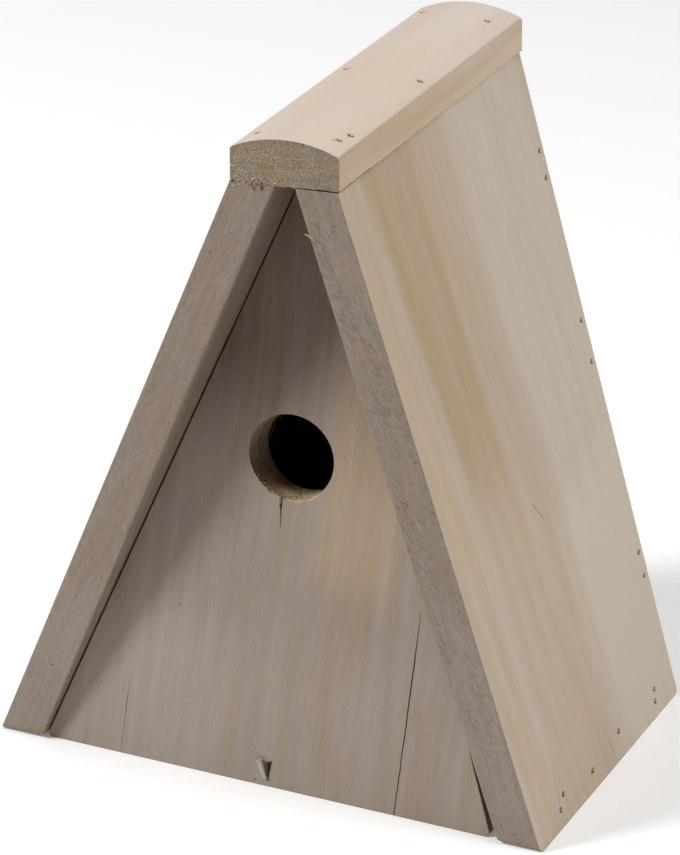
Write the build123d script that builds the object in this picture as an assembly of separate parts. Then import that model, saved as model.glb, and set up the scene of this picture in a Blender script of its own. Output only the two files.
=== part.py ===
"""Triangular nest box of rough pine boards, held together with brads.

Millimetres, +Z up, the entrance faces -Y. The origin is at the middle of the overall
box in plan, on the level that the box stands on.
"""
import os
from math import atan, cos, radians, sin, sqrt, tan

from build123d import *

# Sloping side boards
base_width = 210.0
ridge_width = 40.0
board_height = 238.0
base_depth = 160.0
front_lean = 27.5
side_thickness = 15.5
side_corner_radius = 4.0
left_inner_foot_radius = 2.3
right_inner_foot_radius = 4.5
side_arris = 0.8

# Ridge cap, which sits askew: its right side is the higher one
cap_tilt = 4.5
cap_side_height = 12.4
cap_crown_rise = 4.4
cap_left_shoulder_radius = 1.2
cap_right_shoulder_radius = 2.2
cap_back_overhang = 1.0

# Front panel and its entrance, drilled a little askew
front_recess = 3.5
front_thickness = 16.0
front_corner_radius = 1.5
front_gap_left = 0.8
front_gap_right_top = 0.3
front_gap_right_bottom = 4.0
front_top_gap = 0.8
entrance_radius = 16.0
entrance_height = 128.0
entrance_shift = -1.3
entrance_dip = 5.0
entrance_swing = 4.0

# Back panel and floor board
back_thickness = 12.0
floor_thickness = 15.0
joint_clearance = 0.1

# Brads, cut from flat wire, with a T head and a chisel point
brad_width = 1.25
brad_depth = 1.1
brad_head_width = 1.9
brad_head_height = 0.7
brad_point_length = 2.0
brad_point_width = 0.3
side_brad_length = 30.0
cap_brad_length = 30.0
brad_clearance = 0.05
square_brad_sink = 0.5
skewed_brad_sink = 0.8
hole_overrun = 3.0

# Brads through each side board into the back panel: pairs by how far down or up they are
back_brad_inset = 4.5
top_back_brads = (33.4, 43.3)
middle_back_brads = (0.597, 0.533)
foot_back_brads = (55.0, 46.3)
# Brads through each side board into the floor: from the nearer end, and up from below
front_floor_brads = ((32.0, 9.5), (26.5, 5.8))
middle_floor_brads = ((0.393, 6.5), (0.594, 9.1))
rear_floor_brads = ((21.8, 9.1), (23.8, 5.2))
# Brads down through the cap: across from its middle, and in from its front end, back from
# its middle, or in from its back end
cap_brads_right = (((14.6, 13.7), (15.8, 21.6)), ((15.3, -2.5),), ((12.3, 17.3),))
cap_brads_left = (((14.5, 12.0),), ((14.0, 1.5),), ((14.6, 11.9),))

# Headed nail that holds the front panel, left standing out and bent up
front_nail_radius = 1.0
front_nail_head_radius = 1.6
front_nail_head_height = 0.7
front_nail_depth = 30.0
front_nail_stub = 0.6
front_nail_bend_radius = 2.5
front_nail_rise = 6.6
front_nail_bend_angle = 68.0
front_nail_height = 3.4
front_nail_shift = -1.8
front_nail_twist = 8.0

# Derived sizes
slope = atan((base_width - ridge_width) / 2 / board_height)
tilt = radians(cap_tilt)
side_across = side_thickness / cos(slope)
length_over_all = front_lean + base_depth + cap_back_overhang
front_top = -length_over_all / 2
cap_back_end = length_over_all / 2
base_front = front_top + front_lean
board_back = base_front + base_depth
front_face = base_front + front_recess
panel_back_face = front_face + front_thickness
back_front_face = board_back - back_thickness
cap_half_width = ridge_width / 2
cap_top = cap_side_height + cap_crown_rise
crown_radius = (cap_half_width**2 + cap_crown_rise**2) / (2 * cap_crown_rise)


def outer_half(height):
    """Half the width over the side boards' outer faces at a height."""
    return base_width / 2 - height * tan(slope)


def inner_half(height):
    """Half the width between the side boards' inner faces at a height."""
    return outer_half(height) - side_across


def ridge_level(half_at_base, side):
    """Height at which a sloping face meets the tilted underside of the cap."""
    rise = side * tan(tilt)
    return (board_height + rise * half_at_base) / (1 + rise * tan(slope))


def crown_height(across):
    """Height of the crown over the cap's underside, at a distance from its middle."""
    return cap_top - crown_radius + sqrt(crown_radius**2 - across**2)


def on_cap(across, along, up=0.0):
    """A frame on the tilted cap, from the middle of its underside."""
    return Pos(0, 0, board_height) * Rot(0, -cap_tilt, 0) * Pos(across, along, up)


def between(outline, start, end):
    """A prism with an outline drawn in the XZ plane, from one y to another."""
    return extrude(Pos(0, start, 0) * (Plane.XZ * outline), end - start, dir=(0, 1, 0))


def brad(length, clearance=0.0, overrun=0.0):
    """A brad with the top of its head at the origin, pointing down.

    With a clearance and an overrun it is the hole that such a brad sits in.
    """
    head = brad_head_width / 2 + clearance
    shank = brad_width / 2 + clearance
    point = brad_point_width / 2 + clearance
    neck = -brad_head_height - clearance
    tip = -length - clearance
    profile = Polygon(
        (-head, overrun), (-head, neck), (-shank, neck), (-shank, tip + brad_point_length),
        (-point, tip), (point, tip), (shank, tip + brad_point_length), (shank, neck),
        (head, neck), (head, overrun), align=None,
    )
    return extrude(Plane.XZ * profile, brad_depth / 2 + clearance, both=True)


def place_brads(places, length, sink):
    """Brads, and their holes, in frames that lie on a face and point out of it."""
    brads = [place * Pos(0, 0, -sink) * brad(length) for place in places]
    holes = [
        place * Pos(0, 0, -sink) * brad(length, brad_clearance, sink + hole_overrun)
        for place in places
    ]
    return brads, holes


def side_brad_places(side):
    """Frames of a side board's brads: those in the back panel, those in the floor."""
    outwards = Vector(side * cos(slope), 0, sin(slope))
    uphill = Vector(-side * sin(slope), 0, cos(slope))
    heights = [board_height - down for down in top_back_brads]
    heights += [board_height * share for share in middle_back_brads]
    heights += list(foot_back_brads)
    into_back = [
        Plane(
            origin=(side * outer_half(height), board_back - back_brad_inset, height),
            x_dir=uphill, z_dir=outwards,
        )
        for height in heights
    ]
    spots = [(base_front + along, height) for along, height in front_floor_brads]
    spots += [(base_front + base_depth * share, height) for share, height in middle_floor_brads]
    spots += [(board_back - along, height) for along, height in rear_floor_brads]
    into_floor = [
        Plane(
            origin=(side * outer_half(height), along, height), x_dir=(0, 0, 1), z_dir=(side, 0, 0)
        )
        for along, height in spots
    ]
    return into_back, into_floor


def cap_brad_places(side, rows):
    """Frames of one side's brads on the cap's crown, from front to back."""
    starts = (front_top, 0.0, cap_back_end)
    directions = (1, 1, -1)
    return [
        on_cap(side * across, start + direction * along, crown_height(across))
        for row, start, direction in zip(rows, starts, directions)
        for across, along in row
    ]


def side_board(side, inner_foot_radius, holes):
    """A sloping side board, level at the foot, with a leaning front edge."""
    outer = base_width / 2
    inner = inner_half(0)
    outer_top = ridge_level(outer, side)
    inner_top = ridge_level(inner, side)
    section = Polygon(
        (side * outer, 0), (side * outer_half(outer_top), outer_top),
        (side * inner_half(inner_top), inner_top), (side * inner, 0), align=None,
    )
    lean_top = ridge_level(outer, 1)
    headroom = lean_top + ridge_width
    lean = front_lean / lean_top
    profile = Polygon(
        (base_front, 0), (board_back, 0), (board_back, headroom),
        (base_front - lean * headroom, headroom), align=None,
    )
    start = front_top - side_thickness
    end = board_back + side_thickness
    board = between(section, start, end) & extrude(Plane.YZ * profile, base_width, both=True)
    long_edges = board.edges().filter_by(lambda edge: edge.length > board_height / 2)
    long_edges = long_edges.filter_by(lambda edge: abs(edge.tangent_at(0.5).Z) > 0.5)
    board = fillet(long_edges, side_arris)

    feet = section.vertices().group_by(Axis.Y)[0].sort_by(lambda foot: abs(foot.X))
    section = fillet(feet[0], inner_foot_radius)
    profile = fillet(profile.vertices().group_by(Axis.Y)[0], side_corner_radius)
    board = board & between(section, start, end)
    board = board & extrude(Plane.YZ * profile, base_width, both=True)
    return board - holes


def ridge_cap(holes):
    """The cap over the ridge: flat under, straight sides, crowned top, square ends."""
    half = cap_half_width
    shoulder = cap_side_height
    outline = (
        Polyline((-half, shoulder), (-half, 0), (half, 0), (half, shoulder))
        + ThreePointArc((half, shoulder), (0, cap_top), (-half, shoulder))
    )
    face = make_face(outline)
    left, right = face.vertices().group_by(Axis.Y)[-1].sort_by(Axis.X)
    face = fillet(left, cap_left_shoulder_radius)
    right = face.vertices().sort_by_distance((half, shoulder))[0]
    face = fillet(right, cap_right_shoulder_radius)
    return on_cap(0, 0) * between(face, front_top, cap_back_end) - holes


def wedge(left_gaps, right_gaps, top, start, end):
    """An upright board between the side boards, with its gaps at the foot and the top."""
    outline = Polygon(
        (left_gaps[0] - inner_half(0), 0), (inner_half(0) - right_gaps[0], 0),
        (inner_half(top) - right_gaps[1], top), (left_gaps[1] - inner_half(top), top), align=None,
    )
    return between(outline, start, end)


def under_cap(board, gap):
    """A board cut off along the tilted underside of the cap, a gap below it."""
    return split(board, Plane(on_cap(0, 0, -gap)), keep=Keep.BOTTOM)


def front_panel(holes):
    """The panel with the entrance, which fits loosely between the side boards."""
    panel = wedge(
        (front_gap_left, front_gap_left), (front_gap_right_bottom, front_gap_right_top),
        board_height, front_face, panel_back_face,
    )
    panel = fillet(panel.edges().filter_by(Axis.Y).group_by(Axis.Z)[0], front_corner_radius)
    panel = under_cap(panel, front_top_gap)
    drill = Pos(entrance_shift, front_face, entrance_height) * Rot(0, 0, -entrance_swing)
    drill = drill * Rot(-90 - entrance_dip, 0, 0)
    return panel - drill * Cylinder(entrance_radius, front_thickness * 4) - holes


def back_panel(holes):
    """The panel that closes the back, flush with the side boards."""
    gaps = (joint_clearance, joint_clearance)
    panel = wedge(gaps, gaps, board_height, back_front_face, board_back)
    return under_cap(panel, joint_clearance) - holes


def floor_board(holes):
    """The floor, with its side edges bevelled to the slope of the side boards."""
    gaps = (joint_clearance, joint_clearance)
    start = panel_back_face + joint_clearance
    end = back_front_face - joint_clearance
    return wedge(gaps, gaps, floor_thickness, start, end) - holes


def front_nail():
    """The nail that holds the front panel, its head end bent up outside the wood."""
    angle = radians(front_nail_bend_angle)
    bend = front_nail_bend_radius
    bend_start = (-front_nail_stub, 0)
    bend_end = (-front_nail_stub - bend * sin(angle), bend - bend * cos(angle))
    neck = (
        bend_end[0] - front_nail_rise * cos(angle),
        bend_end[1] + front_nail_rise * sin(angle),
    )
    driven = Line((front_nail_depth, 0), bend_start)
    bent = TangentArc(bend_start, bend_end, tangent=(-1, 0))
    raised = Line(bend_end, neck)
    path = Plane.YZ * (driven + bent + raised)
    section = Plane(origin=(0, front_nail_depth, 0), z_dir=(0, -1, 0)) * Circle(front_nail_radius)
    shank = sweep(section, path=path)
    seat = Plane(origin=(0, neck[0], neck[1]), z_dir=(0, -cos(angle), sin(angle)))
    head = seat * Cylinder(
        front_nail_head_radius, front_nail_head_height,
        align=(Align.CENTER, Align.CENTER, Align.MIN),
    )
    place = Pos(front_nail_shift, front_face, front_nail_height) * Rot(0, -front_nail_twist, 0)
    return place * (shank + head)


def front_nail_hole():
    """The hole for the nail, through the front panel and into the floor."""
    start = Plane(
        origin=(front_nail_shift, front_face - hole_overrun, front_nail_height), z_dir=(0, 1, 0)
    )
    return start * Cylinder(
        front_nail_radius + brad_clearance, hole_overrun + front_nail_depth + brad_clearance,
        align=(Align.CENTER, Align.CENTER, Align.MIN),
    )


def build():
    """Every piece of the nest box by its name."""
    pieces = {}
    back_holes = []
    floor_holes = []
    cap_holes = []
    for name, side, foot_radius, spots in (
        ("left", -1, left_inner_foot_radius, cap_brads_left),
        ("right", 1, right_inner_foot_radius, cap_brads_right),
    ):
        into_back, into_floor = side_brad_places(side)
        rows = {
            "back": (into_back, side_brad_length, square_brad_sink),
            "floor": (into_floor, side_brad_length, skewed_brad_sink),
            "cap": (cap_brad_places(side, spots), cap_brad_length, skewed_brad_sink),
        }
        holes = {}
        for row, (places, length, sink) in rows.items():
            brads, holes[row] = place_brads(places, length, sink)
            for number, piece in enumerate(brads, 1):
                pieces[f"{name}_{row}_brad_{number}"] = piece
        board_holes = holes["back"] + holes["floor"] + holes["cap"]
        pieces[f"{name}_side_board"] = side_board(side, foot_radius, board_holes)
        back_holes += holes["back"]
        floor_holes += holes["floor"]
        cap_holes += holes["cap"]

    nail_hole = front_nail_hole()
    pieces["ridge_cap"] = ridge_cap(cap_holes)
    pieces["front_panel"] = front_panel([nail_hole])
    pieces["back_panel"] = back_panel(back_holes)
    pieces["floor_board"] = floor_board(floor_holes + [nail_hole])
    pieces["front_nail"] = front_nail()
    return pieces


os.makedirs("parts", exist_ok=True)
for node, piece in build().items():
    export_step(piece, f"parts/{node}.step")
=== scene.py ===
"""Looks of a triangular nest box of rough pine boards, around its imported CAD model.

The frame is that of the CAD: +Z up, the entrance faces -Y, and the origin lies under the
middle of the box. Blender works in metres. Sizes here are in millimetres, as in the part's
source, and become metres where a point, a mesh or a texture is made.
"""

import logging
from collections.abc import Callable, Iterable, Sequence
from dataclasses import dataclass, field, replace
from enum import Enum, IntEnum
from math import atan, cos, pi, radians, sin, sqrt, tan
from random import Random

import bmesh
import bpy
from mathutils import Matrix, Vector, noise


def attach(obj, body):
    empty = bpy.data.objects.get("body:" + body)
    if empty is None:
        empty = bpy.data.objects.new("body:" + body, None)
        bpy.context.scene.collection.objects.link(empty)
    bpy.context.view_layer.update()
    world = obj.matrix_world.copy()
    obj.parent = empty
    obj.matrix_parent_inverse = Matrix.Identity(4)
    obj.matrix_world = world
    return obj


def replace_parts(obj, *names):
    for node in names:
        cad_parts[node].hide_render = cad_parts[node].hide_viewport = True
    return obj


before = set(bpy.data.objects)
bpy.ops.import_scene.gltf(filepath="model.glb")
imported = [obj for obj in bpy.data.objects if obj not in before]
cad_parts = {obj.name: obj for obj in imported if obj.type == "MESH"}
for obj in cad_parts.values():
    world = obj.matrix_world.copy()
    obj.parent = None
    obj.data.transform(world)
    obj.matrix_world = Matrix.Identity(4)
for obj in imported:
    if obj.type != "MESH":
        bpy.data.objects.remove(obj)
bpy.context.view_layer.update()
LOG = logging.getLogger("nest_box")
MM = 0.001

Colour = tuple[float, float, float]
Size = tuple[float, float, float]
Spot = tuple[float, float]
Place = Callable[[float, float, float], Vector]
Socket = bpy.types.NodeSocket
Source = float | Colour | Vector | Socket
Special = Callable[[bpy.types.MeshPolygon], bpy.types.Material | None]

PALE_BOARD: Colour = (0.58, 0.488, 0.40)
DEEP_BOARD: Colour = (0.37, 0.285, 0.21)
EDGE_PALE: Colour = (0.315, 0.255, 0.205)
EDGE_DEEP: Colour = (0.155, 0.12, 0.096)
PANEL_PALE: Colour = (0.405, 0.342, 0.294)
PANEL_DEEP: Colour = (0.125, 0.092, 0.072)
BORE_PALE: Colour = (0.64, 0.49, 0.32)
BORE_DEEP: Colour = (0.12, 0.08, 0.056)
CREAM: Colour = (0.725, 0.64, 0.57)
CREAM_DEEP: Colour = (0.50, 0.39, 0.30)
FLANK: Colour = (0.62, 0.53, 0.455)
FLANK_DEEP: Colour = (0.44, 0.35, 0.26)
WARM: Colour = (0.97, 0.885, 0.72)
END_PALE: Colour = (0.33, 0.275, 0.215)
END_DEEP: Colour = (0.115, 0.085, 0.055)
WHITE: Colour = (1.0, 1.0, 1.0)

TO_RIGHT = Vector((1.0, 0.0, 0.0))
AHEAD = Vector((0.0, -1.0, 0.0))
BEHIND = Vector((0.0, 1.0, 0.0))
UP = Vector((0.0, 0.0, 1.0))
DOWN = Vector((0.0, 0.0, -1.0))


class Side(Enum):
    """The two sloping side boards, with the sign of their x."""

    LEFT = -1
    RIGHT = 1


class Slot(Enum):
    """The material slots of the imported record."""

    BOARD = "board_wood"
    PANEL = "panel_wood"
    CAP = "cap_wood"
    NAILS = "steel_nails"


class Cut(IntEnum):
    """Kinds of surface that a cut leaves. Nought is left for the uncut faces."""

    TORN = 1
    FRESH = 2
    # Torn wood with painted shade, for cracks, pits, joints and gouges.
    DEEP = 3


@dataclass(frozen=True)
class BoxSizes:
    """Driving sizes of the box, as in the part's source, and places on its faces."""

    base_width: float = 210.0
    ridge_width: float = 40.0
    board_height: float = 238.0
    base_depth: float = 160.0
    front_lean: float = 27.5
    side_thickness: float = 15.5
    cap_tilt: float = 4.5
    cap_side_height: float = 12.4
    cap_crown_rise: float = 4.4
    cap_back_overhang: float = 1.0
    front_recess: float = 3.5
    front_thickness: float = 16.0
    entrance_radius: float = 16.0
    entrance_height: float = 128.0
    entrance_shift: float = -1.3
    entrance_dip: float = 5.0
    entrance_swing: float = 4.0

    @property
    def slope(self) -> float:
        """Angle of the side boards from upright, in radians."""
        return atan((self.base_width - self.ridge_width) / 2 / self.board_height)

    @property
    def front_top(self) -> float:
        """Y of the front end of the cap."""
        return -(self.front_lean + self.base_depth + self.cap_back_overhang) / 2

    @property
    def base_front(self) -> float:
        """Y of the side boards' front edges at the foot."""
        return self.front_top + self.front_lean

    @property
    def front_face(self) -> float:
        """Y of the front panel's outer face."""
        return self.base_front + self.front_recess

    @property
    def lean(self) -> float:
        """How far the boards' front edges come forward for each millimetre of height."""
        outer = self.base_width / 2
        rise = tan(radians(self.cap_tilt))
        top = (self.board_height + rise * outer) / (1 + rise * tan(self.slope))
        return self.front_lean / top

    def outer_half(self, height: float) -> float:
        """Half the width over the side boards at a height."""
        return self.base_width / 2 - height * tan(self.slope)

    def side_out(self, side: Side) -> Vector:
        """Unit vector out of a side board's outer face."""
        return Vector((side.value * cos(self.slope), 0.0, sin(self.slope)))

    def side_along(self, side: Side) -> Vector:
        """Unit vector up along a side board's front edge, which its grain follows."""
        return Vector((-side.value * tan(self.slope), -self.lean, 1.0)).normalized()

    def on_side(self, side: Side, y: float, height: float, out: float = 0.0) -> Vector:
        """A point on a side board's outer face, in metres.

        Args:
            side: Which of the two boards.
            y: Its y, in millimetres.
            height: Its height, in millimetres.
            out: How far it stands out of the face, in millimetres.

        Returns:
            The point.
        """
        foot = Vector((side.value * self.outer_half(height), y, height))
        return (foot + self.side_out(side) * out) * MM

    def on_panel(self, x: float, height: float, out: float = 0.0) -> Vector:
        """A point on the front panel's outer face, in metres."""
        return Vector((x, self.front_face - out, height)) * MM

    def on_edge(self, x: float, height: float, out: float = 0.0) -> Vector:
        """A point on the leaning plane of the boards' front edges, in metres."""
        ahead = Vector((0.0, -1.0, -self.lean)).normalized()
        foot = Vector((x, self.base_front - self.lean * height, height))
        return (foot + ahead * out) * MM

    def on_cap(self, across: float, y: float, up: float) -> Vector:
        """A point on the tilted cap, measured from the middle of its underside, in metres."""
        turn = Matrix.Rotation(-radians(self.cap_tilt), 3, "Y")
        return (Vector((0.0, 0.0, self.board_height)) + turn @ Vector((across, y, up))) * MM

    def on_cap_end(self, across: float, up: float, out: float = 0.0) -> Vector:
        """A point on the cap's front end, in metres."""
        return self.on_cap(across, self.front_top - out, up)

    def on_cap_side(self, y: float, up: float, out: float = 0.0) -> Vector:
        """A point on the cap's right side, in metres."""
        return self.on_cap(self.ridge_width / 2 + out, y, up)

    def on_crown(self, across: float, y: float, out: float = 0.0) -> Vector:
        """A point on the cap's crown, in metres."""
        half = self.ridge_width / 2
        rise = self.cap_crown_rise
        radius = (half**2 + rise**2) / (2 * rise)
        up = self.cap_side_height + rise - radius + sqrt(radius**2 - across**2)
        return self.on_cap(across, y, up + out)

    def in_entrance(self, turn: float, depth: float, out: float = 0.0) -> Vector:
        """A point on the wall of the entrance, in metres.

        Args:
            turn: Angle round the hole from +X towards +Z, in radians.
            depth: How far in from the panel's face, in millimetres.
            out: How far it stands off the wall towards the middle, in millimetres.

        Returns:
            The point.
        """
        radius = self.entrance_radius - out
        x = self.entrance_shift + depth * tan(radians(self.entrance_swing)) + radius * cos(turn)
        z = self.entrance_height - depth * tan(radians(self.entrance_dip)) + radius * sin(turn)
        return Vector((x, self.front_face + depth, z)) * MM


BOX = BoxSizes()


@dataclass(frozen=True)
class Patch:
    """A small flat place on a face, with its own axes."""

    middle: Vector
    across: Vector
    out: Vector

    def place(self, a: float, b: float, out: float) -> Vector:
        """A point over the patch, from millimetres across, up and out of it, in metres."""
        up = self.out.cross(self.across)
        return self.middle + (self.across * a + up * b + self.out * out) * MM


HEAD_SLICE = 0.3


def head_patch(
    node: str, across: Vector, out: Vector, sink: float, slide: Spot = (0.0, 0.0)
) -> Patch:
    """The place on a face over the head of a brad.

    Args:
        node: The CAD node of the brad.
        across: Direction along the face.
        out: Direction out of the face.
        sink: How far the head lies under the face, in millimetres.
        slide: How far the hole's mouth lies from over the head, along the face.

    Returns:
        The patch, on the face.
    """
    points = [vertex.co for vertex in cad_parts[node].data.vertices]
    top = max(point.dot(out) for point in points)
    head = [point for point in points if point.dot(out) > top - HEAD_SLICE * MM]
    middle = sum(head, Vector()) / len(head)
    middle += out * (top - middle.dot(out) + sink * MM)
    patch = Patch(middle, (across - out * across.dot(out)).normalized(), out)
    return replace(patch, middle=patch.place(*slide, 0.0))


def new_object(name: str, data: bpy.types.ID) -> bpy.types.Object:
    """Makes an object of a mesh, a light or a camera and links it into the scene."""
    made = bpy.data.objects.new(name, data)
    bpy.context.scene.collection.objects.link(made)
    return made


def applied_mesh(holder: bpy.types.Object) -> bpy.types.Mesh:
    """The mesh that an object's modifiers leave."""
    bpy.context.view_layer.update()
    graph = bpy.context.evaluated_depsgraph_get()
    return bpy.data.meshes.new_from_object(holder.evaluated_get(graph), depsgraph=graph)


def settle(holder: bpy.types.Object, name: str, slot: Slot) -> bpy.types.Object:
    """Makes an object with live modifiers into a plain piece that rides on the box.

    Args:
        holder: The object, which is removed.
        name: Name of the piece.
        slot: The record's material slot. Not used.

    Returns:
        The piece, with its object at the origin.
    """
    mesh = applied_mesh(holder)
    mesh.name = name
    bpy.data.objects.remove(holder)
    piece = new_object(name, mesh)
    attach(piece, "root")
    mesh.calc_loop_triangles()
    LOG.info("%s: %d triangles", name, len(mesh.loop_triangles))
    return piece


def dress_node(node: str, material: bpy.types.Material) -> None:
    """Gives a CAD node its material, and leaves its mesh as it is."""
    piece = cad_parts[node]
    piece.data.materials.clear()
    piece.data.materials.append(material)
    LOG.info("%s: dressed in %s", node, material.name)


def tube_faces(
    rings: Sequence[Sequence[bmesh.types.BMVert]],
) -> list[tuple[bmesh.types.BMVert, ...]]:
    """Corners of the faces of a closed tube: those of its sides, then of its two ends."""
    faces = []
    for first, second in zip(rings, rings[1:]):
        for k in range(len(first)):
            after = (k + 1) % len(first)
            faces.append((first[k], first[after], second[after], second[k]))
    return faces + [tuple(rings[0]), tuple(rings[-1])]


class NodeKit:
    """Short calls that add, set and link the nodes of a tree."""

    tree: bpy.types.NodeTree

    def feed(self, socket: Socket, source: Source) -> None:
        """Links a source to a socket, or sets it as the socket's value."""
        if isinstance(source, bpy.types.NodeSocket):
            self.tree.links.new(source, socket)
        elif socket.type == "RGBA":
            socket.default_value = (*source, 1.0)
        else:
            socket.default_value = source

    def add(
        self, kind: str, feeds: dict[str | int, Source] | None = None, **settings: object
    ) -> bpy.types.Node:
        """Adds a node.

        Args:
            kind: The type of the node.
            feeds: What each input is linked to or set to, by its name or number.
            **settings: The node's properties.

        Returns:
            The node.
        """
        node = self.tree.nodes.new(kind)
        for name, value in settings.items():
            setattr(node, name, value)
        for key, source in (feeds or {}).items():
            self.feed(node.inputs[key], source)
        return node

    def math(self, operation: str, *sources: Source, clamp: bool = False) -> Socket:
        """A Math node's result."""
        node = self.add(
            "ShaderNodeMath", dict(enumerate(sources)), operation=operation, use_clamp=clamp
        )
        return node.outputs[0]

    def plus(self, base: Source, shade: Source, amount: Source) -> Socket:
        """A base value with an amount of a shade added to it."""
        return self.math("MULTIPLY_ADD", shade, amount, base)

    def vector(self, operation: str, *sources: Source) -> Socket:
        """A Vector Math node's vector."""
        node = self.add("ShaderNodeVectorMath", dict(enumerate(sources)), operation=operation)
        return node.outputs["Vector"]

    def combined(self, *parts: Source) -> Socket:
        """A vector made of up to three parts, with nought for those not given."""
        return self.add("ShaderNodeCombineXYZ", dict(enumerate(parts))).outputs[0]

    def split(self, vector: Socket) -> tuple[Socket, Socket, Socket]:
        """The three parts of a vector."""
        return tuple(self.add("ShaderNodeSeparateXYZ", {0: vector}).outputs)


class Graph(NodeKit):
    """A material's nodes, with short calls for those that the finishes use."""

    SEED_STEPS = (7.3, 3.1, 5.7)

    def __init__(self, name: str) -> None:
        """Starts a material with a Principled shader and Object coordinates.

        Args:
            name: The name of the material.
        """
        self.material = bpy.data.materials.new(name)
        self.material.use_nodes = True
        self.tree = self.material.node_tree
        self.tree.nodes.clear()
        self.shader = self.add("ShaderNodeBsdfPrincipled")
        self.add("ShaderNodeOutputMaterial", {"Surface": self.shader.outputs["BSDF"]})
        self.coordinates = self.add("ShaderNodeTexCoord").outputs["Object"]

    def paint(self, **looks: Source) -> None:
        """Feeds the shader's inputs, named in small letters with underscores."""
        sockets = {socket.name.lower().replace(" ", "_"): socket for socket in self.shader.inputs}
        for name, source in looks.items():
            self.feed(sockets[name], source)

    def distance(self, first: Socket, second: Vector) -> Socket:
        """The distance between two points."""
        feeds = {0: first, 1: second}
        return self.add("ShaderNodeVectorMath", feeds, operation="DISTANCE").outputs["Value"]

    def mapped(self, place: Socket, feeds: dict[str, Sequence[float]]) -> Socket:
        """Coordinates moved, turned or scaled by a Mapping node."""
        return self.add("ShaderNodeMapping", {"Vector": place, **feeds}).outputs["Vector"]

    def turned(self, matrix: Matrix) -> Socket:
        """Object coordinates in millimetres, along the rows of a matrix."""
        feeds = {"Rotation": matrix.to_euler("XYZ"), "Scale": (1 / MM, 1 / MM, 1 / MM)}
        return self.mapped(self.coordinates, feeds)

    def noise(
        self, place: Socket, size: Size, seed: float, detail: float = 2.0, rough: float = 0.5,
        turn: float = 0.0,
    ) -> Socket:
        """Noise stretched to a size along each axis.

        Args:
            place: Coordinates in millimetres.
            size: Size of the pattern along each axis, in millimetres.
            seed: Shifts the pattern, so that no two boards share it.
            detail: Octaves of finer noise.
            rough: Strength of each finer octave.
            turn: Turns the pattern about the first axis before it is stretched, in radians.

        Returns:
            The noise, from 0 to 1, with 0.5 as its mean.
        """
        if turn:
            place = self.mapped(place, {"Rotation": (turn, 0.0, 0.0)})
        place = self.mapped(place, {
            "Location": [seed * step for step in self.SEED_STEPS],
            "Scale": [1 / length for length in size],
        })
        feeds = {"Vector": place, "Scale": 1.0, "Detail": detail, "Roughness": rough}
        return self.add("ShaderNodeTexNoise", feeds).outputs[0]

    def step(self, value: Source, low: float, high: float) -> Socket:
        """A smooth step from 0 to 1, between two values of the input."""
        feeds = {"Value": value, "From Min": low, "From Max": high}
        node = self.add("ShaderNodeMapRange", feeds, interpolation_type="SMOOTHSTEP")
        return node.outputs["Result"]

    def blend(self, factor: Source, first: Source, second: Source, mode: str = "MIX") -> Socket:
        """Two colours blended by a factor."""
        feeds = {"Factor": factor, 6: first, 7: second}
        node = self.add("ShaderNodeMix", feeds, data_type="RGBA", blend_type=mode)
        return node.outputs[2]

    def relief(self, height: Socket) -> None:
        """Bumps the surface by a height in millimetres."""
        node = self.add("ShaderNodeBump", {"Distance": MM, "Height": height})
        self.paint(normal=node.outputs["Normal"])


@dataclass(frozen=True)
class Band:
    """A streak along the grain, or a band of painted light and shade: darker where its amount is
    over nought, paler under it.
    """

    centre: float
    half: float
    start: float
    end: float
    amount: float
    warmth: float = 0.0
    soft: float = 1.0
    broken: bool = True

    END_FADE = 0.45

    def shade(self, graph: Graph, across: Socket, along: Socket, broken: Socket) -> Socket:
        """How strongly the band shows at a point, from 0 to 1.

        Args:
            graph: The graph that the nodes go into.
            across: Place across the grain, in millimetres.
            along: Place along the grain, in millimetres.
            broken: Breaks up the bands that ask for it.

        Returns:
            The shade.
        """
        middle = (self.start + self.end) / 2
        reach = (self.end - self.start) / 2
        fades = []
        for spot, centre, half, fade in (
            (across, self.centre, self.half, self.soft), (along, middle, reach, self.END_FADE),
        ):
            off = graph.math("ABSOLUTE", graph.math("SUBTRACT", spot, centre))
            fades.append(graph.step(graph.math("DIVIDE", off, -half), -1.0, fade - 1.0))
        shade = graph.math("MULTIPLY", *fades)
        return graph.math("MULTIPLY", shade, broken) if self.broken else shade


@dataclass(frozen=True)
class Stain:
    """A round darker spot, with its place across and along the grain."""

    across: float
    along: float
    radius: float
    amount: float
    warmth: float = 0.0

    CORE = 0.3

    def shade(self, graph: Graph, place: Socket) -> Socket:
        """How strongly the stain shows at a point of the flat face, from 0 to 1."""
        off = graph.distance(place, Vector((0.0, self.across, self.along)))
        return graph.step(off, self.radius, self.radius * self.CORE)


@dataclass(frozen=True)
class SawMarks:
    """Short slanting dashes that a saw left across a face."""

    amount: float
    width: float
    length: float
    turn: float
    relief: float

    DASH_DEPTH = 6.0
    DASH_STEP = (0.50, 0.72)
    AREA_SIZE = (20.0, 9.0, 26.0)
    AREA_STEP = (0.34, 0.62)

    def dashes(self, graph: Graph, place: Socket, seed: float) -> Socket:
        """Where the dashes lie, in areas of their own, from 0 to 1."""
        size = (self.DASH_DEPTH, self.width, self.length)
        dash = graph.noise(place, size, seed, detail=1.5, turn=radians(self.turn))
        area = graph.noise(place, self.AREA_SIZE, seed + 1.0, detail=1.0)
        dash = graph.step(dash, *self.DASH_STEP)
        return graph.math("MULTIPLY", dash, graph.step(area, *self.AREA_STEP))


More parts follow.
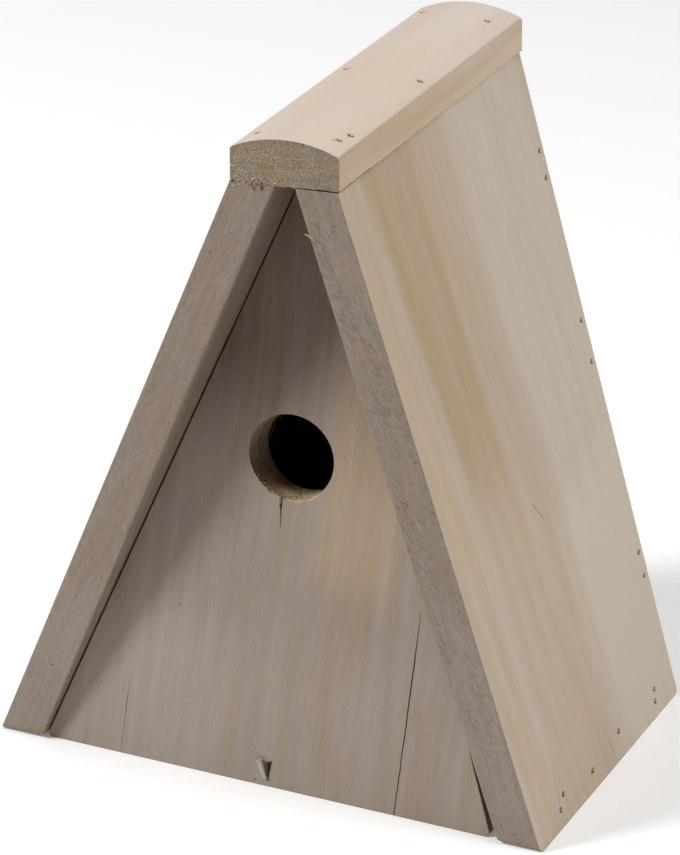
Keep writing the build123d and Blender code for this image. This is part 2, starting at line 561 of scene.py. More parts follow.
@dataclass(frozen=True)
class WoodFinish:
    """Bare wood with its grain, rings, pores, patches and streaks; some pieces' bands are painted
    light and shade.
    """

    name: str
    out: Vector
    along: Vector
    pale: Colour
    deep: Colour
    seed: float = 0.0
    patch: float = 0.5
    streak: float = 0.6
    fibre: float = 0.5
    pore: float = 0.25
    ring: float = 0.15
    ring_spacing: float = 4.0
    pith: Spot = (-60.0, 10.0)
    bands: tuple[Band, ...] = ()
    stains: tuple[Stain, ...] = ()
    saw: SawMarks | None = None
    relief: float = 0.06
    roughness: float = 0.82
    patch_size: Size = (60.0, 28.0, 120.0)
    streak_size: Size = (14.0, 5.0, 170.0)
    fibre_size: Size = (0.9, 0.6, 26.0)

    MEAN_TONE = 0.62
    STREAK_GAIN = 2.2
    FIBRE_GAIN = 1.6
    FIBRE_HEIGHT = 1.6
    PORE_HEIGHT = 0.8
    SPECULAR = 0.25
    PATCH_STEP = (0.36, 0.66)
    PORE_SIZE = (0.6, 0.34, 3.6)
    PORE_STEP = (0.60, 0.74)
    BREAK_SIZE = (14.0, 3.5, 42.0)
    BREAK_STEP = (0.30, 0.60)
    DRIFT_SIZE = (80.0, 60.0, 190.0)
    DRIFT = 16.0
    RAGGED_SIZE = (9.0, 9.0, 120.0)
    RAGGED = 7.0
    RING_POWER = 3.0
    IN_FACE = Vector((0.0, 1.0, 1.0))

    def axes(self) -> Matrix:
        """Rows: out of the face, across the grain in the face, and along the grain."""
        return Matrix((self.out, self.along.cross(self.out), self.along))

    def stained(
        self, heads: Sequence[Patch], radius: float, amount: float, warmth: float
    ) -> "WoodFinish":
        """The same finish with a stain round the head of each brad."""
        spots = [self.axes() @ patch.middle / MM for patch in heads]
        stains = tuple(Stain(across, along, radius, amount, warmth) for _, across, along in spots)
        return replace(self, stains=stains)

    def material(self) -> bpy.types.Material:
        """Builds the finish.

        Returns:
            The material, on Object coordinates.
        """
        graph = Graph(self.name)
        straight = graph.turned(self.axes())
        place = self.drifted(graph, straight)
        depth, across, along = graph.split(place)
        patch = graph.noise(place, self.patch_size, self.seed + 2.0)
        streak = graph.noise(place, self.streak_size, self.seed + 3.0, detail=3.0, rough=0.55)
        fibre = graph.noise(place, self.fibre_size, self.seed + 4.0, detail=3.0, rough=0.62)
        pore = graph.noise(place, self.PORE_SIZE, self.seed + 5.0, detail=1.0)
        pore = graph.step(pore, *self.PORE_STEP)

        streaks = graph.math("SUBTRACT", streak, 0.5)
        fibres = graph.math("SUBTRACT", fibre, 0.5)
        tone = graph.plus(self.MEAN_TONE, streaks, -self.STREAK_GAIN * self.streak)
        tone = graph.plus(tone, fibres, -self.FIBRE_GAIN * self.fibre)
        tone = graph.plus(tone, self.rings(graph, place, depth, across), -self.ring)
        tone = graph.plus(tone, pore, -self.pore)
        warmth = graph.math("MULTIPLY", graph.step(patch, *self.PATCH_STEP), self.patch)
        height = graph.math("MULTIPLY", fibre, self.FIBRE_HEIGHT * self.relief)
        height = graph.plus(height, pore, -self.PORE_HEIGHT * self.relief)

        broken = graph.noise(place, self.BREAK_SIZE, self.seed + 7.0)
        broken = graph.step(broken, *self.BREAK_STEP)
        shades = [band.shade(graph, across, along, broken) for band in self.bands]
        tone, warmth = self.shaded(graph, tone, warmth, zip(self.bands, shades))
        if self.saw:
            dash = self.saw.dashes(graph, place, self.seed + 8.0)
            tone = graph.plus(tone, dash, -self.saw.amount)
            height = graph.plus(height, dash, -self.saw.relief)
        flat = graph.vector("MULTIPLY", straight, self.IN_FACE)
        shades = [stain.shade(graph, flat) for stain in self.stains]
        tone, warmth = self.shaded(graph, tone, warmth, zip(self.stains, shades))

        tone = graph.math("ADD", tone, 0.0, clamp=True)
        warmth = graph.math("ADD", warmth, 0.0, clamp=True)
        colour = graph.blend(tone, self.deep, self.pale)
        colour = graph.blend(warmth, colour, WARM, "MULTIPLY")
        graph.paint(
            base_color=colour, roughness=self.roughness, specular_ior_level=self.SPECULAR
        )
        graph.relief(height)
        return graph.material

    def drifted(self, graph: Graph, place: Socket) -> Socket:
        """Coordinates that drift slowly to the side, so that the grain isn't straight."""
        drift = graph.noise(place, self.DRIFT_SIZE, self.seed + 1.0, detail=1.0)
        sway = graph.math("MULTIPLY", graph.math("SUBTRACT", drift, 0.5), self.DRIFT)
        return graph.vector("ADD", place, graph.combined(sway, sway))

    def rings(self, graph: Graph, place: Socket, depth: Socket, across: Socket) -> Socket:
        """Growth rings round the pith, from 0 to 1 at the late wood of each."""
        squares = []
        for spot, pith in ((across, self.pith[1]), (depth, self.pith[0])):
            off = graph.math("ABSOLUTE", graph.math("SUBTRACT", spot, pith))
            squares.append(graph.math("POWER", off, 2.0))
        reach = graph.math("SQRT", graph.math("ADD", *squares))
        ragged = graph.noise(place, self.RAGGED_SIZE, self.seed + 6.0)
        reach = graph.math("ADD", reach, graph.math("MULTIPLY", ragged, self.RAGGED))
        ring = graph.math("FRACT", graph.math("DIVIDE", reach, self.ring_spacing))
        return graph.math("POWER", ring, self.RING_POWER)

    @staticmethod
    def shaded(
        graph: Graph, tone: Socket, warmth: Socket,
        marks: Iterable[tuple[Band | Stain, Socket]],
    ) -> tuple[Socket, Socket]:
        """The tone and the warmth with what bands or stains bring to them."""
        for mark, shade in marks:
            tone = graph.plus(tone, shade, -mark.amount)
            if mark.warmth:
                warmth = graph.plus(warmth, shade, mark.warmth)
        return tone, warmth


@dataclass(frozen=True)
class FibreFinish:
    """Loose fibres and torn wood, in one colour that varies a little."""

    name: str
    pale: Colour
    deep: Colour

    TINT_SIZE = (1.2, 1.2, 3.0)
    TINT_STEP = (0.35, 0.65)
    ROUGHNESS = 0.9
    SPECULAR = 0.2
    RELIEF = 0.08

    def material(self) -> bpy.types.Material:
        """Builds the finish and returns its material."""
        graph = Graph(self.name)
        place = graph.turned(Matrix.Identity(3))
        tint = graph.noise(place, self.TINT_SIZE, 1.0, detail=3.0, rough=0.6)
        tint = graph.step(tint, *self.TINT_STEP)
        graph.paint(
            base_color=graph.blend(tint, self.deep, self.pale), roughness=self.ROUGHNESS,
            specular_ior_level=self.SPECULAR,
        )
        graph.relief(graph.math("MULTIPLY", tint, self.RELIEF))
        return graph.material


@dataclass(frozen=True)
class SteelFinish:
    """Dull steel with a film of brown rust in patches."""

    name: str
    bright: Colour
    rust: Colour
    rust_low: float
    rust_high: float
    roughness: float
    metal: float = 0.9

    FILM_SIZE = (1.6, 1.6, 2.4)
    DRAWN_SIZE = (0.25, 0.25, 3.0)
    FILM_ROUGHNESS = 0.35
    RELIEF = 0.03

    def material(self) -> bpy.types.Material:
        """Builds the finish and returns its material."""
        graph = Graph(self.name)
        place = graph.turned(Matrix.Identity(3))
        film = graph.noise(place, self.FILM_SIZE, 3.0, detail=4.0, rough=0.6)
        film = graph.step(film, self.rust_low, self.rust_high)
        drawn = graph.noise(place, self.DRAWN_SIZE, 5.0)
        graph.paint(
            base_color=graph.blend(film, self.bright, self.rust),
            roughness=graph.plus(self.roughness, film, self.FILM_ROUGHNESS),
            metallic=graph.plus(self.metal, film, -self.metal),
        )
        graph.relief(graph.math("MULTIPLY", graph.math("ADD", drawn, film), self.RELIEF))
        return graph.material


class FibreTree(NodeKit):
    """Geometry Nodes that set torn wood fibres along a path."""

    INPUTS = (
        ("Count", "Int"), ("Length", "Float"), ("Thickness", "Float"), ("Direction", "Vector"),
        ("Spread", "Vector"), ("Bend", "Float"), ("Jitter", "Vector"), ("Seed", "Int"),
        ("Material", "Material"),
    )
    RUNS = 5
    SIDES = 4
    TAPER = 0.75
    JITTER_DRAWS = 10
    SPREAD_DRAWS = 20
    SPIN_DRAW = 30
    SIZE_DRAWS = (
        ("Thickness", 0.5, 1.0, 40), ("Thickness", 0.7, 1.8, 41), ("Length", 0.25, 1.0, 42),
    )

    def __init__(self) -> None:
        """Builds the tree with its named inputs, and keeps their identifiers."""
        self.tree = bpy.data.node_groups.new("torn_fibres", "GeometryNodeTree")
        face = self.tree.interface
        face.new_socket("Path", in_out="INPUT", socket_type="NodeSocketGeometry")
        self.keys = {
            name: face.new_socket(name, in_out="INPUT", socket_type="NodeSocket" + kind).identifier
            for name, kind in self.INPUTS
        }
        face.new_socket("Fibres", in_out="OUTPUT", socket_type="NodeSocketGeometry")
        self.inlet = self.add("NodeGroupInput").outputs
        grown = self.add("GeometryNodeInstanceOnPoints", {
            "Points": self.scattered_points(), "Instance": self.one_fibre(),
            "Rotation": self.rotation(), "Scale": self.size(),
        })
        real = self.add("GeometryNodeRealizeInstances", {0: grown.outputs[0]})
        dressed = self.add("GeometryNodeSetMaterial", {
            "Geometry": real.outputs[0], "Material": self.inlet["Material"],
        })
        self.add("NodeGroupOutput", {0: dressed.outputs[0]})

    def chance(self, low: float, high: float, shift: int) -> Socket:
        """A random number for each point, from the seed and a shift of its own."""
        seed = self.math("ADD", self.inlet["Seed"], shift)
        feeds = {2: low, 3: high, "Seed": seed}
        return self.add("FunctionNodeRandomValue", feeds, data_type="FLOAT").outputs[1]

    def chance_vector(self, amount: Socket, shift: int) -> Socket:
        """A random vector for each point, up to an amount along each axis."""
        parts = [self.chance(-1.0, 1.0, shift + axis) for axis in range(3)]
        return self.vector("MULTIPLY", self.combined(*parts), amount)

    def scattered_points(self) -> Socket:
        """Points along the path, each moved a little at random."""
        curve = self.add("GeometryNodeMeshToCurve", {"Mesh": self.inlet["Path"]})
        feeds = {"Curve": curve.outputs[0], "Count": self.inlet["Count"]}
        points = self.add("GeometryNodeCurveToPoints", feeds, mode="COUNT")
        return self.add("GeometryNodeSetPosition", {
            "Geometry": points.outputs["Points"],
            "Offset": self.chance_vector(self.inlet["Jitter"], self.JITTER_DRAWS),
        }).outputs[0]

    def one_fibre(self) -> Socket:
        """A fibre one unit long, tapered and bent to one side."""
        line = self.add("GeometryNodeCurvePrimitiveLine", {"End": UP})
        feeds = {"Curve": line.outputs[0], "Count": self.RUNS}
        runs = self.add("GeometryNodeResampleCurve", feeds)
        _, _, height = self.split(self.add("GeometryNodeInputPosition").outputs[0])
        shift = self.math("MULTIPLY", self.math("POWER", height, 2.0), self.inlet["Bend"])
        feeds = {"Geometry": runs.outputs[0], "Offset": self.combined(shift)}
        bent = self.add("GeometryNodeSetPosition", feeds)
        feeds = {"Curve": bent.outputs[0], "Radius": self.plus(1.0, height, -self.TAPER)}
        taper = self.add("GeometryNodeSetCurveRadius", feeds)
        feeds = {"Resolution": self.SIDES, "Radius": 0.5}
        ring = self.add("GeometryNodeCurvePrimitiveCircle", feeds)
        return self.add("GeometryNodeCurveToMesh", {
            "Curve": taper.outputs[0], "Profile Curve": ring.outputs[0], "Fill Caps": True,
        }).outputs[0]

    def rotation(self) -> Socket:
        """Each fibre's rotation: along the direction, spread at random, spun at random."""
        spread = self.chance_vector(self.inlet["Spread"], self.SPREAD_DRAWS)
        towards = self.vector("ADD", self.inlet["Direction"], spread)
        aligned = self.add("FunctionNodeAlignRotationToVector", {"Vector": towards}, axis="Z")
        spin = self.combined(0.0, 0.0, self.chance(0.0, 2 * pi, self.SPIN_DRAW))
        turn = self.add("FunctionNodeEulerToRotation", {0: spin})
        feeds = {"Rotation": aligned.outputs[0], "Rotate By": turn.outputs[0]}
        return self.add("FunctionNodeRotateRotation", feeds, rotation_space="LOCAL").outputs[0]

    def size(self) -> Socket:
        """Each fibre's thickness, width and length."""
        return self.combined(*(
            self.math("MULTIPLY", self.inlet[name], self.chance(low, high, shift))
            for name, low, high, shift in self.SIZE_DRAWS
        ))


@dataclass(frozen=True)
class FibreRow:
    """One row of torn fibres. Its sizes are in millimetres."""

    name: str
    path: Sequence[Vector]
    direction: Vector
    count: int
    length: float
    slot: Slot
    seed: int
    thickness: float
    spread: Size
    bend: float
    jitter: Size

    def build(self, tree: FibreTree, material: bpy.types.Material) -> bpy.types.Object:
        """Grows the fibres and makes them a piece.

        Args:
            tree: The Geometry Nodes tree that grows them.
            material: The finish of the fibres.

        Returns:
            The piece, riding on the box.
        """
        mesh = bpy.data.meshes.new(self.name + "_path")
        steps = [(index, index + 1) for index in range(len(self.path) - 1)]
        mesh.from_pydata([tuple(point) for point in self.path], steps, [])
        holder = new_object(self.name + "_path", mesh)
        modifier = holder.modifiers.new("fibres", "NODES")
        modifier.node_group = tree.tree
        for name, value in (
            ("Count", self.count), ("Length", self.length * MM),
            ("Thickness", self.thickness * MM),
            ("Direction", tuple(self.direction.normalized())), ("Spread", self.spread),
            ("Bend", self.bend), ("Jitter", tuple(Vector(self.jitter) * MM)),
            ("Seed", self.seed), ("Material", material),
        ):
            modifier[tree.keys[name]] = value
        return settle(holder, self.name, self.slot)


@dataclass(frozen=True)
class Crack:
    """A crack, split or scratch along a path on a face, in millimetres."""

    path: tuple[Spot, ...]
    widths: tuple[float, ...]
    depth: float
    wander: float = 0.15
    seed: int = 1


@dataclass(frozen=True)
class Chip:
    """A small pit with a four-sided mouth, in millimetres, its length turned in radians."""

    spot: Spot
    length: float
    width: float
    depth: float
    turn: float


@dataclass(frozen=True)
class ChipRow:
    """Chips of random size along a line. The size is the largest length, width and depth."""

    start: Spot
    end: Spot
    count: int
    size: Size
    turn: float
    seed: int
    scatter: float


@dataclass(frozen=True)
class PitPatch:
    """Small slanting pits inside an ellipse on a face, in millimetres and degrees."""

    middle: Spot
    reach: Spot
    count: int
    size: Size
    turn: float
    seed: int


@dataclass(frozen=True)
class FaceRule:
    """Faces that look most nearly in this direction take this finish."""

    direction: Vector
    material: bpy.types.Material


class Carver:
    """Takes cracks, chips and gouges out of a copy of a CAD node's mesh."""

    OVERSHOOT = 0.6
    STEP = 1.5
    SWAYS = ((1.0, 0.31, 9.7), (0.5, 1.0, 3.3))
    MOUTH = ((1, 0.15), (0.1, 1), (-1, -0.2), (-0.15, -1))
    CHIP_SHARE = (0.1, 0.9)
    CHIP_SCALE = (0.35, 1.0)
    CHIP_TURN = 0.4
    PIT_SCALE = (0.45, 1.0)
    PIT_TURN = 0.5
    WELD = 0.002
    FLAT_ANGLE = 0.3
    SHARP_ANGLE = 24
    FACE_WEIGHT = 100

    def __init__(self, node: str) -> None:
        """Starts with the node's mesh and no cutters.

        Args:
            node: Name of the CAD node.
        """
        self.node = node
        self.cutters = bmesh.new()
        self.kind = Cut.TORN

    def face(self, corners: Sequence[bmesh.types.BMVert]) -> None:
        """Adds a cutter's face, which leaves the kind of surface in use."""
        self.cutters.faces.new(corners).material_index = self.kind

    def crack(self, place: Place, crack: Crack) -> None:
        """Adds a wedge along a wandering path.

        Args:
            place: Gives a point from two places on the face and a height over it.
            crack: The crack's path, widths and depth.
        """
        spots = self.wandering(crack)
        rows = []
        for index, (a, b, width) in enumerate(spots):
            here = place(a, b, 0.0)
            out = (place(a, b, 1.0) - here).normalized()
            before = place(*spots[max(index - 1, 0)][:2], 0.0)
            after = place(*spots[min(index + 1, len(spots) - 1)][:2], 0.0)
            aside = (after - before).cross(out).normalized()
            top = width / 2 * (1 + self.OVERSHOOT / crack.depth) * MM
            lip = here + out * self.OVERSHOOT * MM
            corners = (lip + aside * top, lip - aside * top, here - out * crack.depth * MM)
            rows.append([self.cutters.verts.new(corner) for corner in corners])
        for corners in tube_faces(rows):
            self.face(corners)

    def wandering(self, crack: Crack) -> list[Size]:
        """A crack's path in short steps that wander from side to side, each with its width."""
        spots = []
        runs = list(zip(crack.path, crack.path[1:], crack.widths, crack.widths[1:]))
        for number, (start, end, width, next_width) in enumerate(runs):
            run = Vector(end) - Vector(start)
            count = max(2, round(run.length / self.STEP))
            aside = Vector((-run.y, run.x)).normalized()
            last = number == len(runs) - 1
            for index in range(count + last):
                share = index / count
                spot = Vector(start) + run * share
                sway = 0.0
                for strength, fine, layer in self.SWAYS:
                    where = Vector((spot.x * fine, spot.y * fine, crack.seed * layer))
                    sway += strength * noise.noise(where)
                spot += aside * sway * crack.wander
                spots.append((spot.x, spot.y, width + (next_width - width) * share))
        return spots

    def pyramid(self, mouth: Sequence[Vector], tip: Vector) -> None:
        """Adds an upside-down pyramid from the corners of its mouth and its tip."""
        corners = [self.cutters.verts.new(corner) for corner in mouth]
        foot = self.cutters.verts.new(tip)
        self.face(corners)
        for first, second in zip(corners, (*corners[1:], corners[0])):
            self.face((first, foot, second))

    def chip(self, place: Place, chip: Chip) -> None:
        """Adds a chip.

        Args:
            place: Gives a point from two places on the face and a height over it.
            chip: Its spot, size and turn.
        """
        ahead = Vector((cos(chip.turn), sin(chip.turn)))
        aside = Vector((-sin(chip.turn), cos(chip.turn)))
        grow = 1 + self.OVERSHOOT / chip.depth
        mouth = []
        for reach, sway in self.MOUTH:
            corner = ahead * reach * chip.length + aside * sway * chip.width
            corner = Vector(chip.spot) + corner * grow / 2
            mouth.append(place(corner.x, corner.y, self.OVERSHOOT))
        self.pyramid(mouth, place(*chip.spot, -chip.depth))

    def chips(self, place: Place, row: ChipRow) -> None:
        """Adds a row of chips, at places that follow from its seed."""
        draw = Random(row.seed)
        for index in range(row.count):
            share = (index + draw.uniform(*self.CHIP_SHARE)) / row.count
            spot = Vector(row.start).lerp(Vector(row.end), share)
            spot += Vector([draw.uniform(-row.scatter, row.scatter) for _ in range(2)])
            scale = draw.uniform(*self.CHIP_SCALE)
            size = [part * scale for part in row.size]
            turn = row.turn + draw.uniform(-self.CHIP_TURN, self.CHIP_TURN)
            self.chip(place, Chip(tuple(spot), *size, turn))

    def pits(self, place: Place, patch: PitPatch) -> None:
        """Adds a patch of pits, at places that follow from its seed."""
        draw = Random(patch.seed)
        for _ in range(patch.count):
            reach = sqrt(draw.random())
            angle = draw.uniform(0.0, 2 * pi)
            spot = (
                patch.middle[0] + patch.reach[0] * reach * cos(angle),
                patch.middle[1] + patch.reach[1] * reach * sin(angle),
            )
            size = [part * draw.uniform(*self.PIT_SCALE) for part in patch.size]
            turn = radians(patch.turn) + draw.uniform(-self.PIT_TURN, self.PIT_TURN)
            self.chip(place, Chip(spot, *size, turn))

    def finish(
        self, name: str, slot: Slot, rules: Sequence[FaceRule], shared: "Shared",
        special: Special | None = None,
    ) -> bpy.types.Object:
        """Cuts the mesh, dresses its faces and lets it stand for the CAD node.

        Args:
            name: Name of the piece.
            slot: The record's material slot.
            rules: Finishes by the direction that a face looks in.
            shared: Holds the finishes of the faces that the cuts leave.
            special: Gives the finish of a face that the rules don't suit, or nothing.

        Returns:
            The piece.
        """
        holder = self.base_object(name)
        knife = self.knife_object()
        if knife:
            modifier = holder.modifiers.new("cuts", "BOOLEAN")
            modifier.operation = "DIFFERENCE"
            modifier.solver = "EXACT"
            modifier.use_self = True
            modifier.object = knife
        mesh = applied_mesh(holder)
        holder.modifiers.clear()
        holder.data = mesh
        if knife:
            bpy.data.objects.remove(knife)
        self.dress(mesh, rules, shared, special)
        even = holder.modifiers.new("even_shading", "WEIGHTED_NORMAL")
        even.keep_sharp = True
        even.weight = self.FACE_WEIGHT
        piece = settle(holder, name, slot)
        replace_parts(piece, self.node)
        return piece

    def base_object(self, name: str) -> bpy.types.Object:
        """An object with the node's mesh, its loose triangles merged to whole faces."""
        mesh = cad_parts[self.node].data.copy()
        shape = bmesh.new()
        shape.from_mesh(mesh)
        bmesh.ops.remove_doubles(shape, verts=shape.verts, dist=self.WELD * MM)
        bmesh.ops.dissolve_limit(
            shape, angle_limit=radians(self.FLAT_ANGLE), verts=shape.verts, edges=shape.edges
        )
        shape.to_mesh(mesh)
        shape.free()
        self.blank_slots(mesh)
        return new_object(name + "_uncut", mesh)

    @staticmethod
    def blank_slots(mesh: bpy.types.Mesh) -> None:
        """Gives a mesh one empty material slot for uncut faces and for each kind of cut."""
        mesh.materials.clear()
        for _ in range(1 + len(Cut)):
            mesh.materials.append(None)

    def knife_object(self) -> bpy.types.Object | None:
        """An object with all the cutters, or nothing where there are none."""
        if not self.cutters.verts:
            return None
        bmesh.ops.recalc_face_normals(self.cutters, faces=self.cutters.faces)
        mesh = bpy.data.meshes.new("knife")
        self.cutters.to_mesh(mesh)
        self.cutters.free()
        self.blank_slots(mesh)
        return new_object("knife", mesh)

    def dress(
        self, mesh: bpy.types.Mesh, rules: Sequence[FaceRule], shared: "Shared",
        special: Special | None,
    ) -> None:
        """Gives each face its finish, and rounds the shading over flat angles."""
        cuts = {Cut.TORN: shared.torn, Cut.FRESH: shared.fresh, Cut.DEEP: shared.deep}
        finishes = []
        chosen = []
        for polygon in mesh.polygons:
            material = cuts.get(polygon.material_index) or (special and special(polygon))
            if not material:
                material = max(rules, key=lambda rule: polygon.normal.dot(rule.direction)).material
            if material not in finishes:
                finishes.append(material)
            chosen.append(finishes.index(material))
        mesh.materials.clear()
        for material in finishes:
            mesh.materials.append(material)
        mesh.polygons.foreach_set("material_index", chosen)
        mesh.polygons.foreach_set("use_smooth", [True] * len(mesh.polygons))
        mesh.set_sharp_from_angle(angle=radians(self.SHARP_ANGLE))
        shape = bmesh.new()
        shape.from_mesh(mesh)
        for edge in shape.edges:
            if len({face.material_index for face in edge.link_faces}) > 1:
                edge.smooth = False
        shape.to_mesh(mesh)
        shape.free()


@dataclass
class Shared:
    """What the sub-assemblies share: the torn finishes and the fibre tree."""

    torn: bpy.types.Material
    fresh: bpy.types.Material
    # Torn wood with painted shade, for the insides of cracks, pits and joints.
    deep: bpy.types.Material
    pale_fibres: bpy.types.Material
    dark_fibres: bpy.types.Material
    tree: FibreTree


@dataclass
class SideBoard:
    """A sloping side board with its scratches, splits and pits."""

    side: Side
    seed: float
    saw: SawMarks
    scratches: tuple[Crack, ...] = ()
    bands: tuple[Band, ...] = ()
    grain_turn: float = 0.0
    edge_chips: tuple[Chip, ...] = ()
    splinter: Spot | None = None

    BRADS_A_ROW = 6
    BRAD_MOUTHS = (("back", 0.5, (0.0, 0.0)), ("floor", 0.43, (-1.25, 0.24)))
    MOUTH_SIZE = (2.2, 4.6, 0.9)
    MOUTH_SCALE = (0.85, 1.1)
    MOUTH_TURN = 0.15
    HEAD_STAIN = (1.7, 0.35, 0.5)
    # Painted light: the front edges paler and cooler towards the foot, lit from the floor.
    EDGE_LIGHT = Band(0.0, 400.0, -160.0, 80.0, -0.14, -0.3, 0.3, broken=False)

    def build(self, shared: Shared) -> None:
        """Builds the board's dressed mesh.

        Args:
            shared: Finishes and trees that all the pieces share.
        """
        name = self.side.name.lower()
        out = BOX.side_out(self.side)
        along = BOX.side_along(self.side)
        heads = [
            head_patch(f"{name}_{row}_brad_{number}", along, out, sink, slide)
            for row, sink, slide in self.BRAD_MOUTHS
            for number in range(1, self.BRADS_A_ROW + 1)
        ]
        carver = Carver(f"{name}_side_board")
        for scratch in self.scratches:
            carver.crack(self.place, scratch)
        for chip in self.edge_chips:
            carver.chip(BOX.on_edge, chip)
        carver.kind = Cut.DEEP
        draw = Random(int(self.seed))
        length, width, depth = self.MOUTH_SIZE
        for patch in heads:
            size = draw.uniform(*self.MOUTH_SCALE)
            turn = draw.uniform(-self.MOUTH_TURN, self.MOUTH_TURN)
            carver.chip(patch.place, Chip((0.0, 0.0), length * size, width * size, depth, turn))
        if self.splinter:
            self.grow_splinter(f"{name}_edge_splinter", shared)
        rules = self.rules(f"{name}_board", out, along, heads)
        carver.finish(f"{name}_board", Slot.BOARD, rules, shared)

    def place(self, y: float, height: float, out: float) -> Vector:
        """A point on the board's outer face."""
        return BOX.on_side(self.side, y, height, out)

    def grow_splinter(self, name: str, shared: Shared) -> None:
        """Grows the splinter that stands off the board's inner arris."""
        x, height = self.splinter
        root = [BOX.on_edge(x + aside, height, -0.5) for aside in (0.0, 0.4)]
        FibreRow(
            name, root, Vector((-1.0, 0.0, 0.25)), 2, 3.4, Slot.BOARD, seed=4, thickness=0.9,
            spread=(0.0, 0.02, 0.12), bend=0.5, jitter=(0.1, 0.1, 0.4),
        ).build(shared.tree, shared.fresh)

    def rules(
        self, name: str, out: Vector, along: Vector, heads: Sequence[Patch]
    ) -> list[FaceRule]:
        """Builds the finishes of the board's faces.

        Args:
            name: Starts the names of the finishes.
            out: Direction out of the outer face.
            along: Direction up along the front edge.
            heads: The places over the brads' heads.

        Returns:
            A rule for each direction that the board's faces look in.
        """
        grain = Matrix.Rotation(radians(self.grain_turn), 3, out) @ along
        face = WoodFinish(
            f"{name}_face", out, grain, PALE_BOARD, DEEP_BOARD, self.seed, patch=0.5, streak=0.24,
            fibre=0.20, pore=0.04, ring=0.0, bands=self.bands, relief=0.04,
            patch_size=(50.0, 11.0, 80.0), streak_size=(20.0, 7.0, 80.0),
        ).stained(heads, *self.HEAD_STAIN).material()
        edge_out = Vector((0.0, -1.0, -BOX.lean)).normalized()
        edge_along = (along - edge_out * along.dot(edge_out)).normalized()
        edge = WoodFinish(
            f"{name}_edge", edge_out, edge_along, EDGE_PALE, EDGE_DEEP, self.seed + 11,
            patch=0.45, streak=0.28, fibre=0.65, pore=0.12, ring=0.0, bands=(self.EDGE_LIGHT,),
            saw=self.saw, relief=0.12, patch_size=(20.0, 5.0, 30.0),
            streak_size=(14.0, 2.4, 30.0), fibre_size=(0.8, 0.5, 2.6),
        ).material()
        inner = WoodFinish(
            f"{name}_inner", -out, along, EDGE_PALE, EDGE_DEEP, self.seed + 23, patch=0.5,
            streak=0.5, fibre=0.5, pore=0.2, ring=0.08, relief=0.1,
        ).material()
        end = WoodFinish(
            f"{name}_end", out, along, END_PALE, END_DEEP, self.seed + 31, patch=0.3, streak=0.3,
            fibre=0.8, pore=0.5, ring=0.35, relief=0.14,
        ).material()
        return [
            FaceRule(out, face), FaceRule(-out, inner), FaceRule(edge_out, edge),
            FaceRule(BEHIND, edge), FaceRule(-along, end), FaceRule(DOWN, end),
            FaceRule(along, end),
        ]


